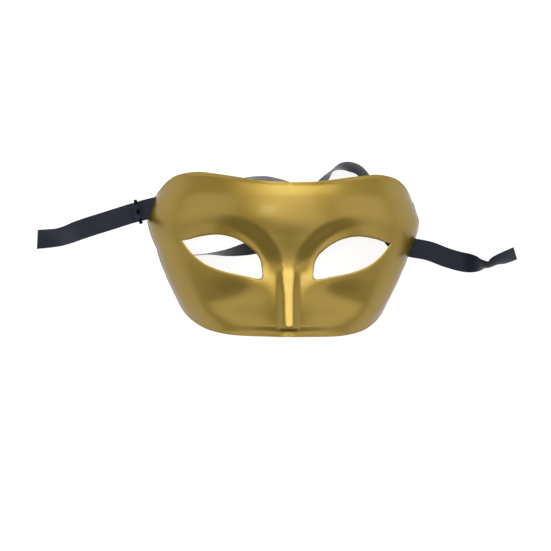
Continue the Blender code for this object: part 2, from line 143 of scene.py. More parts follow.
# Outline: turn round the dome (share of a right angle, 1 is the side rim), level, rim lift
TOP_EDGE: tuple[Row, ...] = (
    (0.000, 0.755, 1.0),
    (0.137, 0.786, 1.0),
    (0.253, 0.862, 1.0),
    (0.393, 0.952, 1.0),
    (0.508, 1.000, 1.0),
    (0.656, 0.955, 1.0),
    (0.761, 0.847, 1.0),
    (0.878, 0.672, 1.0),
    (0.962, 0.565, 1.0),
    (1.000, 0.485, 1.0),
    (1.000, 0.240, 1.0),
    (1.000, 0.000, 1.0),
)
LOWER_EDGE: tuple[Row, ...] = (
    (1.000, 0.000, 1.0),
    (1.000, -0.155, 1.0),
    (1.000, -0.350, 1.0),
    (1.000, -0.430, 0.0),
    (1.000, -0.550, 0.0),
    (1.000, -0.690, 0.0),
    (0.985, -0.775, 1.0),
    (0.890, -0.851, 1.0),
    (0.770, -0.919, 1.0),
    (0.645, -0.962, 1.0),
    (0.463, -0.992, 1.0),
    (0.309, -1.000, 1.0),
    (0.149, -0.998, 1.0),
    (0.000, -0.997, 1.0),
)

# Eye hole: along X (share of eye_length from the inner edge), height (share of eye_height)
UPPER_LID: tuple[Row, ...] = (
    (0.073, 0.576),
    (0.207, 0.783),
    (0.367, 0.935),
    (0.564, 1.000),
    (0.777, 0.960),
    (0.910, 0.895),
    (1.000, 0.866),
)
LOWER_LID: tuple[Row, ...] = (
    (1.000, 0.866),
    (0.931, 0.681),
    (0.842, 0.507),
    (0.684, 0.297),
    (0.473, 0.152),
    (0.227, 0.058),
    (0.085, 0.004),
    (0.030, 0.000),
)
INNER_LID: tuple[Row, ...] = (
    (0.030, 0.000),
    (0.005, 0.050),
    (0.000, 0.160),
    (0.022, 0.409),
    (0.073, 0.576),
)

# Ribbon runs: X (share of half_width), Y above the temple corner (share of chin_drop), roll in
# degrees, curl across the ribbon (share of its width)
LEFT_RUN: tuple[Row, ...] = (
    (-1.305, -0.020, 0.0, 0.00),
    (-1.400, -0.058, 0.0, 0.00),
    (-1.500, -0.101, 4.0, 0.00),
    (-1.640, -0.166, 20.0, 0.03),
    (-1.805, -0.191, 14.0, 0.00),
)
RIGHT_RUN: tuple[Row, ...] = (
    (0.797, 0.027, 32.0, 0.00),
    (0.745, 0.041, 60.0, 0.00),
    (0.705, 0.104, 76.0, 0.00),
    (0.676, 0.199, 70.0, 0.00),
    (0.650, 0.293, 62.0, 0.00),
    (0.612, 0.381, 56.0, 0.00),
    (0.541, 0.474, 54.0, 0.05),
    (0.450, 0.500, 58.0, 0.05),
    (0.352, 0.462, 84.0, 0.00),
    (0.292, 0.380, 72.0, 0.00),
    (0.222, 0.310, 74.0, 0.00),
    (0.130, 0.292, 80.0, 0.00),
    (0.050, 0.330, 76.0, 0.00),
    (-0.050, 0.364, 74.0, 0.00),
    (-0.166, 0.383, 74.0, 0.00),
    (-0.333, 0.370, 84.0, 0.00),
    (-0.488, 0.307, 90.0, 0.00),
    (-0.621, 0.165, 90.0, 0.00),
    (-0.715, -0.031, 90.0, 0.00),
    (-0.759, -0.193, 90.0, 0.00),
    (-0.732, -0.285, 90.0, 0.00),
    (-0.662, -0.312, 90.0, 0.00),
    (-0.554, -0.301, 88.0, 0.00),
    (-0.421, -0.288, 72.0, 0.00),
    (-0.300, -0.258, 55.0, 0.00),
    (-0.203, -0.232, 48.0, 0.00),
    (0.000, -0.185, 60.0, 0.00),
    (0.222, -0.112, 78.0, 0.00),
    (0.443, -0.038, 88.0, 0.00),
    (0.643, -0.030, 80.0, 0.00),
    (0.770, -0.100, 48.0, 0.00),
    (0.828, -0.152, 12.0, 0.00),
    (0.880, -0.200, 0.0, 0.00),
    (0.960, -0.220, 0.0, 0.00),
    (1.085, -0.247, 0.0, 0.00),
    (1.221, -0.306, 0.0, 0.00),
    (1.341, -0.344, 6.0, 0.00),
    (1.441, -0.357, 40.0, 0.12),
    (1.517, -0.348, 84.0, 0.25),
    (1.596, -0.320, 118.0, 0.10),
    (1.722, -0.258, 126.0, 0.00),
)


@dataclass(frozen=True)
class PaintFinish:
    """Satin metallic paint on moulded plastic."""

    name: str
    deep: Row
    light: Row
    roughness: float
    coat: float
    coat_roughness: float
    grain: float
    grain_scale: float


@dataclass(frozen=True)
class ClothFinish:
    """Woven satin: colour, sheen and the pitch of its threads."""

    name: str
    colour: Row
    worn: Row
    roughness: float
    specular: float
    sheen: float
    thread_pitch: float
    thread_depth: float


GOLD = PaintFinish(
    name="gold_paint",
    deep=(0.280, 0.186, 0.024),
    light=(0.325, 0.218, 0.032),
    roughness=0.40,
    coat=0.6,
    coat_roughness=0.24,
    grain=0.12,
    grain_scale=1800.0,
)
BACK_GOLD = PaintFinish(
    name="gold_paint_back",
    deep=(0.285, 0.190, 0.030),
    light=(0.330, 0.225, 0.042),
    roughness=0.45,
    coat=0.5,
    coat_roughness=0.3,
    grain=0.08,
    grain_scale=1200.0,
)
SATIN = ClothFinish(
    name="black_satin",
    colour=(0.0060, 0.0085, 0.0150),
    worn=(0.0085, 0.0118, 0.0200),
    roughness=0.40,
    specular=0.14,
    sheen=0.12,
    thread_pitch=0.00028,
    thread_depth=0.12,
)
THREAD = ClothFinish(
    name="black_thread",
    colour=(0.0012, 0.0016, 0.0024),
    worn=(0.0022, 0.0026, 0.0036),
    roughness=0.90,
    specular=0.05,
    sheen=0.0,
    thread_pitch=0.00050,
    thread_depth=0.30,
)


def smooth_step(low: float, high: float, value: float) -> float:
    """Ease from 0 to 1.

    Args:
        low: value at which the result is 0.
        high: value at which the result is 1.
        value: the value to place between them.

    Returns:
        The eased share.
    """
    share = min(1.0, max(0.0, (value - low) / (high - low)))
    return share * share * (3.0 - 2.0 * share)


def bell(value: float) -> float:
    """Rounded hump.

    Args:
        value: distance from the middle of the hump, 1 at its shoulder.

    Returns:
        1 at the middle, fading out at about 2.
    """
    return math.exp(-value * value)


def hinge(run: float, ease: float) -> float:
    """Rise that starts at 0 and goes on straight.

    Args:
        run: place along the rise, 0 where it starts.
        ease: how far its start is rounded.

    Returns:
        The height of the rise.
    """
    return 0.5 * (run + math.sqrt(run * run + ease * ease))


def catmull(before: Row, start: Row, end: Row, after: Row, share: float) -> Row:
    """Blend four neighbouring rows.

    Args:
        before: row ahead of the span.
        start: row where the span starts.
        end: row where the span ends.
        after: row behind the span.
        share: place in the span, 0 to 1.

    Returns:
        The smooth row at that place.
    """
    square = share * share
    cube = square * share
    return tuple(
        0.5 * (2.0 * b + (c - a) * share + (2.0 * a - 5.0 * b + 4.0 * c - d) * square
               + (3.0 * b - a - 3.0 * c + d) * cube)
        for a, b, c, d in zip(before, start, end, after)
    )


def curve_points(rows: Sequence[Row], per_span: int) -> list[Row]:
    """Smooth curve through all rows.

    Args:
        rows: the rows to pass through.
        per_span: points made for each span.

    Returns:
        The points, ends included.
    """
    first = tuple(2.0 * a - b for a, b in zip(rows[0], rows[1]))
    last = tuple(2.0 * a - b for a, b in zip(rows[-1], rows[-2]))
    padded = (first, *rows, last)
    points = []
    for index in range(len(rows) - 1):
        for step in range(per_span):
            points.append(catmull(*padded[index:index + 4], step / per_span))
    points.append(tuple(rows[-1]))
    return points


def resample(points: Sequence[Row], places: Sequence[Vector], steps: int, ease: float) -> list[Row]:
    """Points at equal steps of their way.

    Args:
        points: the rows to take from.
        places: where each row lies.
        steps: how many steps to make.
        ease: above 1, the steps are shorter at the start.

    Returns:
        One row for each step, ends included.
    """
    way = [0.0]
    for here, there in zip(places, places[1:]):
        way.append(way[-1] + (there - here).length)
    rows = []
    index = 1
    for step in range(steps + 1):
        target = way[-1] * (step / steps) ** ease
        while index < len(way) - 1 and way[index] < target:
            index += 1
        share = (target - way[index - 1]) / (way[index] - way[index - 1])
        rows.append(tuple(a + (b - a) * share for a, b in zip(points[index - 1], points[index])))
    return rows


def new_object(name: str, mesh: bpy.types.Mesh) -> bpy.types.Object:
    """Object in the scene, moved from the layout to its place.

    Args:
        name: name of the object.
        mesh: its mesh.

    Returns:
        The linked object.
    """
    item = bpy.data.objects.new(name, mesh)
    bpy.context.scene.collection.objects.link(item)
    item.location = (SHELL.mirror_plane, SHELL.temple_level, 0.0)
    return item


def smooth_faces(mesh: bpy.types.Mesh) -> None:
    """Shade every face of a mesh smooth.

    Args:
        mesh: the mesh to shade.
    """
    mesh.polygons.foreach_set("use_smooth", [True] * len(mesh.polygons))
    mesh.update()


class DomeForm:
    """The shell's outer face as a surface of turn and height."""

    def level_height(self, share: float) -> float:
        """Height above the temple corner.

        Args:
            share: level share, positive up and negative down.

        Returns:
            The height in metres.
        """
        return share * (SHELL.top_rise if share > 0.0 else SHELL.chin_drop)

    def section(self, height: float) -> tuple[float, float]:
        """Size of the dome at a height.

        Args:
            height: height above the temple corner.

        Returns:
            Half width and depth.
        """
        rows = [(self.level_height(level), wide, deep) for level, wide, deep in DOME]
        index = 1
        while index < len(rows) - 1 and height < rows[index][0]:
            index += 1
        before = rows[max(0, index - 2)]
        after = rows[min(len(rows) - 1, index + 1)]
        share = (height - rows[index - 1][0]) / (rows[index][0] - rows[index - 1][0])
        _, wide, deep = catmull(before, rows[index - 1], rows[index], after, share)
        return wide * SHELL.half_width, deep * SHELL.depth

    def socket(self, across: float, height: float) -> float:
        """Brow recess round one eye hole.

        Args:
            across: distance from the mirror plane.
            height: height above the temple corner.

        Returns:
            Relief in metres, negative inwards.
        """
        tilt = math.radians(FACE.socket_tilt)
        along_x = across - FACE.eye_inner - 0.50 * FACE.eye_length
        along_y = height + FACE.eye_base - 0.52 * FACE.eye_height
        lengthwise = along_x * math.cos(tilt) + along_y * math.sin(tilt)
        upward = along_y * math.cos(tilt) - along_x * math.sin(tilt)
        radius = math.hypot(lengthwise / (0.75 * FACE.eye_length), upward / (0.93 * FACE.eye_height))
        inside = 1.0 - smooth_step(0.70, 1.08, radius)
        above = smooth_step(-0.45 * FACE.eye_height, 0.35 * FACE.eye_height, upward)
        fade = smooth_step(-0.35 * FACE.eye_length, 0.25 * FACE.eye_length, lengthwise)
        outward = 1.0 - 0.80 * fade
        return -FACE.socket_depth * inside * (0.2 + 0.8 * above) * outward

    def side(self, across: float, height: float) -> float:
        """Forms that repeat on both sides: brow, recess and cheek.

        Args:
            across: distance from the mirror plane.
            height: height above the temple corner.

        Returns:
            Relief in metres.
        """
        half = SHELL.half_width
        brow = FACE.brow_height * bell((across - 0.30 * half) / (0.27 * half))
        brow *= bell((height - 0.17 * SHELL.top_rise) / (0.28 * SHELL.top_rise))
        middle = FACE.eye_inner + 0.34 * FACE.eye_length
        cheek = -FACE.cheek_depth * bell((across - middle) / (0.30 * FACE.eye_length))
        cheek *= bell((height + FACE.eye_base + 0.50 * FACE.eye_height) / (0.33 * FACE.eye_height))
        return brow + cheek + self.socket(across, height)

    def nose(self, across: float, height: float) -> float:
        """Nose: a straight rising ridge on a wider foot, cut off below its tip.

        Args:
            across: distance from the mirror plane.
            height: height above the temple corner.

        Returns:
            Relief in metres.
        """
        run = min(1.0, (-height - FACE.nose_start) / (FACE.nose_tip - FACE.nose_start))
        end = 1.0 - smooth_step(FACE.nose_tip, FACE.nose_tip + FACE.nose_end, -height)
        crest = 0.18 * smooth_step(-0.15, 0.45, run) * math.exp(-abs(across / FACE.nose_crest) ** 4.0)
        foot = 0.82 * hinge(run, 0.20) * bell(across / FACE.nose_foot)
        return FACE.nose_height * (crest * end + foot * (0.88 + 0.12 * end))

    def relief(self, across: float, height: float) -> float:
        """Height of all the face's forms above the plain dome.

        Args:
            across: distance from the mirror plane.
            height: height above the temple corner.

        Returns:
            Relief in metres.
        """
        bridge = -FACE.bridge_depth * bell(across / FACE.nose_foot)
        bridge *= smooth_step(0.0, 1.1 * FACE.nose_start, -height)
        sides = self.side(across, height) + self.side(-across, height)
        return sides + bridge + self.nose(across, height)

    def point(self, turn: float, height: float) -> Vector:
        """Point of the outer face.

        Args:
            turn: turn round the dome, 1 is the side rim.
            height: height above the temple corner.

        Returns:
            The point, from the mirror plane and the temple level.
        """
        angle = turn * math.pi / 2.0
        wide, deep = self.section(height)
        flare = SHELL.flare * max(0.0, 1.0 - (abs(height) / SHELL.flare_reach) ** 1.3)
        across = wide * math.sin(angle) + flare * math.sin(angle) ** 6
        fade = 1.0 - smooth_step(0.80, 0.97, turn)
        up = deep * math.cos(angle) + fade * self.relief(across, height)
        return Vector((across, height, up))

    def rim_turn(self, height: float, lift: float) -> float:
        """Turn at which the side wall reaches its rim.

        Args:
            height: height above the temple corner.
            lift: 1 for a lifted rim, 0 for one that rests on the floor.

        Returns:
            The turn.
        """
        _, deep = self.section(height)
        rim = lift * SHELL.rim_lift - (1.0 - lift) * SHELL.rest_sink
        return math.acos(rim / deep) * 2.0 / math.pi

    def outline_rows(self, edge: Iterable[Row]) -> list[Row]:
        """Outline table as turns and heights.

        Args:
            edge: rows of turn, level and lift.

        Returns:
            Rows of turn and height.
        """
        rows = []
        for turn, level, lift in edge:
            height = self.level_height(level)
            rows.append((self.rim_turn(height, lift) if turn == 1.0 else turn, height))
        return rows

    def eye_rows(self, lid: Iterable[Row]) -> list[Row]:
        """Eye hole table as turns and heights.

        Args:
            lid: rows of shares along and up the eye hole.

        Returns:
            Rows of turn and height.
        """
        rows = []
        for along, up in lid:
            height = -FACE.eye_base + up * FACE.eye_height
            wide, _ = self.section(height)
            turn = math.asin((FACE.eye_inner + along * FACE.eye_length) / wide) * 2.0 / math.pi
            rows.append((turn, height))
        return rows

    def spread(self, rows: Sequence[Row], steps: int, ease: float) -> list[Row]:
        """Rows of turn and height along a smooth edge.

        Args:
            rows: the edge's own rows.
            steps: how many steps to make.
            ease: above 1, the steps are shorter at the start.

        Returns:
            Rows of turn and height.
        """
        points = curve_points(rows, 24)
        places = [self.point(turn, height) for turn, height in points]
        return resample(points, places, steps, ease)


FORM = DomeForm()


def slot_height() -> float:
    """Height of a slot.

    Returns:
        The height in metres.
    """
    return RIBBON.slot_thick + 2.0 * RIBBON.slot_play


def slot_frame(side: Side) -> tuple[Vector, Vector]:
    """Where a temple's slot is.

    Args:
        side: which temple.

    Returns:
        Middle of the slot on the wall's outer face, and the wall's outward normal.
    """
    low = FORM.point(1.0, max(0.0, RIBBON.slot_rise - 0.5 * RIBBON.width))
    high = FORM.point(1.0, RIBBON.slot_rise + 0.5 * RIBBON.width)
    outward = Vector((high.y - low.y, low.x - high.x, 0.0)).normalized()
    middle = FORM.point(1.0, RIBBON.slot_rise)
    middle.z = SHELL.rim_lift + RIBBON.bar + 0.5 * slot_height()
    outward.x *= side.value
    middle.x *= side.value
    return middle, outward


def leaving(side: Side) -> Vector:
    """Direction in which a ribbon's sewn layers leave their slot.

    Args:
        side: which ribbon.

    Returns:
        A level unit vector.
    """
    if side is Side.RIGHT:
        return -slot_frame(side)[1]
    angle = math.radians(RIBBON.slant)
    return Vector((-math.cos(angle), -math.sin(angle), 0.0))


def ribbon_skew(side: Side) -> float:
    """Angle between a ribbon in its slot and the wall's normal there.

    Args:
        side: which ribbon.

    Returns:
        The angle in radians.
    """
    return math.acos(min(1.0, abs(slot_frame(side)[1].dot(leaving(side)))))


@dataclass
class Paint:
    """Builds the metallic paint from its finish."""

    finish: PaintFinish

    def build(self) -> bpy.types.Material:
        """Make the material.

        Returns:
            The material.
        """
        finish = self.finish
        material = bpy.data.materials.new(finish.name)
        material.use_nodes = True
        tree = material.node_tree
        shader = tree.nodes["Principled BSDF"]
        shader.inputs["Metallic"].default_value = 1.0
        shader.inputs["Specular Tint"].default_value = (0.40, 0.38, 0.36, 1.0)
        shader.inputs["Coat Weight"].default_value = finish.coat
        shader.inputs["Coat Roughness"].default_value = finish.coat_roughness
        place = tree.nodes.new("ShaderNodeTexCoord")
        cloud = self.noise(tree, place, 38.0, 3.0)
        tone = tree.nodes.new("ShaderNodeMix")
        tone.data_type = "RGBA"
        tone.inputs["A"].default_value = (*finish.deep, 1.0)
        tone.inputs["B"].default_value = (*finish.light, 1.0)
        tree.links.new(cloud.outputs["Fac"], tone.inputs["Factor"])
        tree.links.new(tone.outputs["Result"], shader.inputs["Base Color"])
        speck = self.noise(tree, place, finish.grain_scale, 2.0)
        rough = tree.nodes.new("ShaderNodeMapRange")
        rough.inputs["To Min"].default_value = finish.roughness - 0.06
        rough.inputs["To Max"].default_value = finish.roughness + 0.06
        tree.links.new(speck.outputs["Fac"], rough.inputs["Value"])
        tree.links.new(rough.outputs["Result"], shader.inputs["Roughness"])
        bump = tree.nodes.new("ShaderNodeBump")
        bump.inputs["Strength"].default_value = finish.grain
        bump.inputs["Distance"].default_value = 0.0002
        tree.links.new(speck.outputs["Fac"], bump.inputs["Height"])
        tree.links.new(bump.outputs["Normal"], shader.inputs["Normal"])
        return material

    def noise(
        self,
        tree: bpy.types.NodeTree,
        place: bpy.types.Node,
        scale: float,
        detail: float,
    ) -> bpy.types.Node:
        """Noise texture in object space.

        Args:
            tree: node tree to add to.
            place: texture coordinate node.
            scale: noise scale.
            detail: noise detail.

        Returns:
            The noise node.
        """
        node = tree.nodes.new("ShaderNodeTexNoise")
        node.inputs["Scale"].default_value = scale
        node.inputs["Detail"].default_value = detail
        tree.links.new(place.outputs["Object"], node.inputs["Vector"])
        return node


@dataclass
class Cloth:
    """Builds woven satin from its finish, with threads along the UV map's directions."""

    finish: ClothFinish

    def build(self) -> bpy.types.Material:
        """Make the material.

        Returns:
            The material.
        """
        finish = self.finish
        material = bpy.data.materials.new(finish.name)
        material.use_nodes = True
        tree = material.node_tree
        shader = tree.nodes["Principled BSDF"]
        shader.inputs["Roughness"].default_value = finish.roughness
        shader.inputs["Specular IOR Level"].default_value = finish.specular
        shader.inputs["Sheen Weight"].default_value = finish.sheen
        shader.inputs["Sheen Roughness"].default_value = 0.4
        place = tree.nodes.new("ShaderNodeTexCoord")
        cloud = tree.nodes.new("ShaderNodeTexNoise")
        cloud.inputs["Scale"].default_value = 60.0
        cloud.inputs["Detail"].default_value = 3.0
        tree.links.new(place.outputs["Object"], cloud.inputs["Vector"])
        tone = tree.nodes.new("ShaderNodeMix")
        tone.data_type = "RGBA"
        tone.inputs["A"].default_value = (*finish.colour, 1.0)
        tone.inputs["B"].default_value = (*finish.worn, 1.0)
        tree.links.new(cloud.outputs["Fac"], tone.inputs["Factor"])
        tree.links.new(tone.outputs["Result"], shader.inputs["Base Color"])
        weave = tree.nodes.new("ShaderNodeTexWave")
        weave.bands_direction = "Y"
        weave.inputs["Scale"].default_value = 1.0 / (finish.thread_pitch * 20.0)
        weave.inputs["Distortion"].default_value = 0.6
        tree.links.new(place.outputs["UV"], weave.inputs["Vector"])
        bump = tree.nodes.new("ShaderNodeBump")
        bump.inputs["Strength"].default_value = finish.thread_depth
        bump.inputs["Distance"].default_value = 0.0001
        tree.links.new(weave.outputs["Fac"], bump.inputs["Height"])
        tree.links.new(bump.outputs["Normal"], shader.inputs["Normal"])
        return material


@dataclass
class ShellPiece:
    """The moulded and painted shell."""

    rings: int = 44
    top_steps: int = 84
    lower_steps: int = 110
    middle_steps: int = 90

    def eye_loop(self) -> list[Row]:
        """Eye hole outline, split where the outline is split.

        Returns:
            Rows of turn and height.
        """
        upper = FORM.spread(FORM.eye_rows(UPPER_LID), self.top_steps, 1.0)
        lower = FORM.spread(FORM.eye_rows(LOWER_LID), self.lower_steps, 1.0)
        inner = FORM.spread(FORM.eye_rows(INNER_LID), self.middle_steps, 1.0)
        return upper[:-1] + lower[:-1] + inner[:-1]

    def outline_loop(self) -> list[Row]:
        """Outline of the half shell: top edge, side and lower edge, then the mirror plane.

        Returns:
            Rows of turn and height.
        """
        top = FORM.outline_rows(TOP_EDGE)
        lower = FORM.outline_rows(LOWER_EDGE)
        rise = top[0][1] - lower[-1][1]
        middle = [(0.0, lower[-1][1] + rise * step / 12) for step in range(13)]
        edge = FORM.spread(top, self.top_steps, 1.0)[:-1]
        edge += FORM.spread(lower[::-1], self.lower_steps, 1.35)[::-1][:-1]
        return edge + FORM.spread(middle, self.middle_steps, 1.45)[:-1]

    def lip_height(self, distance: float) -> float:
        """Raised lip along the outer edge.

        Args:
            distance: distance from the edge.

        Returns:
            Height of the lip.
        """
        return SHELL.lip * bell(distance / SHELL.lip_width)

    def round_drop(self, distance: float) -> float:
        """Rounded edge of an eye hole.

        Args:
            distance: distance from the edge of the hole.

        Returns:
            How far the face drops below the plain surface.
        """
        short = max(0.0, 1.0 - distance / SHELL.eye_round)
        return SHELL.eye_round * (1.0 - math.sqrt(max(0.0, 1.0 - 0.92 * short * short)))

    def half_mesh(self) -> bpy.types.Mesh:
        """Outer face of the right half.

        Returns:
            The open mesh.
        """
        eye = self.eye_loop()
        outline = self.outline_loop()
        on_edge = self.top_steps + self.lower_steps
        work = bmesh.new()
        rings = []
        for ring in range(self.rings + 1):
            share = ring / self.rings
            share -= 0.07 * math.sin(2.0 * math.pi * share)
            points = []
            for start, end in zip(eye, outline):
                turn, height = (a + (b - a) * share for a, b in zip(start, end))
                points.append(work.verts.new(FORM.point(turn, height)))
            rings.append(points)
        for inner, outer in zip(rings, rings[1:]):
            for index in range(len(eye)):
                after = (index + 1) % len(eye)
                work.faces.new((inner[index], outer[index], outer[after], inner[after]))
        work.normal_update()
        if sum(face.normal.z for face in work.faces) < 0.0:
            bmesh.ops.reverse_faces(work, faces=work.faces)
            work.normal_update()
        starts = [rings[0][index].co.copy() for index in range(len(eye))]
        ends = [rings[-1][index].co.copy() for index in range(len(eye))]
        moves = []
        for ring in rings:
            for index, vertex in enumerate(ring):
                lift = -self.round_drop((vertex.co - starts[index]).length)
                if index < on_edge:
                    lift += self.lip_height((vertex.co - ends[index]).length)
                moves.append((vertex, vertex.normal * lift))
        for vertex, move in moves:
            if vertex.co.x > 0.0008:
                vertex.co += move
        mesh = bpy.data.meshes.new("gold_shell")
        work.to_mesh(mesh)
        work.free()
        return mesh

    def cutter(self, name: str, size: Row, place: Vector, turn: float) -> bpy.types.Object:
        """Box that cuts the shell, taken away once it has.

        Args:
            name: name of the cutter.
            size: size along its own axes.
            place: middle of the box, in the layout.
            turn: turn about Z in radians.

        Returns:
            The box.
        """
        work = bmesh.new()
        bmesh.ops.create_cube(work, size=1.0)
        spot = Matrix.Translation(place) @ Matrix.Rotation(turn, 4, "Z") @ Matrix.Diagonal((*size, 1.0))
        bmesh.ops.transform(work, matrix=spot, verts=work.verts)
        mesh = bpy.data.meshes.new(name)
        work.to_mesh(mesh)
        work.free()
        return new_object(name, mesh)

    def build(self) -> bpy.types.Object:
        """Make the whole shell.

        Returns:
            The shell.
        """
        shell = new_object("gold_shell", self.half_mesh())
        mirror = shell.modifiers.new("both halves", "MIRROR")
        mirror.use_clip = True
        mirror.merge_threshold = 0.0001
        wall = shell.modifiers.new("wall", "SOLIDIFY")
        wall.thickness = SHELL.wall
        wall.offset = -1.0
        wall.use_even_offset = True
        wall.use_quality_normals = True
        wall.material_offset = 1
        edge = shell.modifiers.new("rounded edges", "BEVEL")
        edge.width = 0.00035
        edge.segments = 2
        edge.limit_method = "ANGLE"
        edge.angle_limit = math.radians(60.0)
        cutters = []
        for side in Side:
            middle, outward = slot_frame(side)
            skew = ribbon_skew(side)
            length = RIBBON.width / math.cos(skew)
            length += 2.0 * (RIBBON.slot_play + 2.0 * SHELL.wall * math.tan(skew))
            size = (8.0 * SHELL.wall, length, slot_height())
            turn = math.atan2(outward.y, outward.x)
            cutters.append(self.cutter(f"slot_cutter_{side.name.lower()}", size, middle, turn))
        size = (3.0 * SHELL.half_width, 3.0 * (SHELL.top_rise + SHELL.chin_drop), SHELL.depth)
        cutters.append(self.cutter("floor_cutter", size, Vector((0.0, 0.0, -0.5 * SHELL.depth)), 0.0))
        for cutter in cutters:
            cut = shell.modifiers.new(cutter.name, "BOOLEAN")
            cut.operation = "DIFFERENCE"
            cut.solver = "EXACT"
            cut.object = cutter
        shell.data.materials.append(Paint(GOLD).build())
        shell.data.materials.append(Paint(BACK_GOLD).build())
        bpy.context.view_layer.update()
        whole = shell.evaluated_get(bpy.context.evaluated_depsgraph_get())
        mesh = bpy.data.meshes.new_from_object(whole)
        mesh.name = "gold_shell"
        shell.modifiers.clear()
        shell.data = mesh
        for cutter in cutters:
            bpy.data.objects.remove(cutter, do_unlink=True)
        smooth_faces(mesh)
        mesh.set_sharp_from_angle(angle=math.radians(50.0))
        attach(shell, BODY)
        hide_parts("mask_shell")
        LOG.info("gold_shell: %d faces", len(mesh.polygons))
        return shell


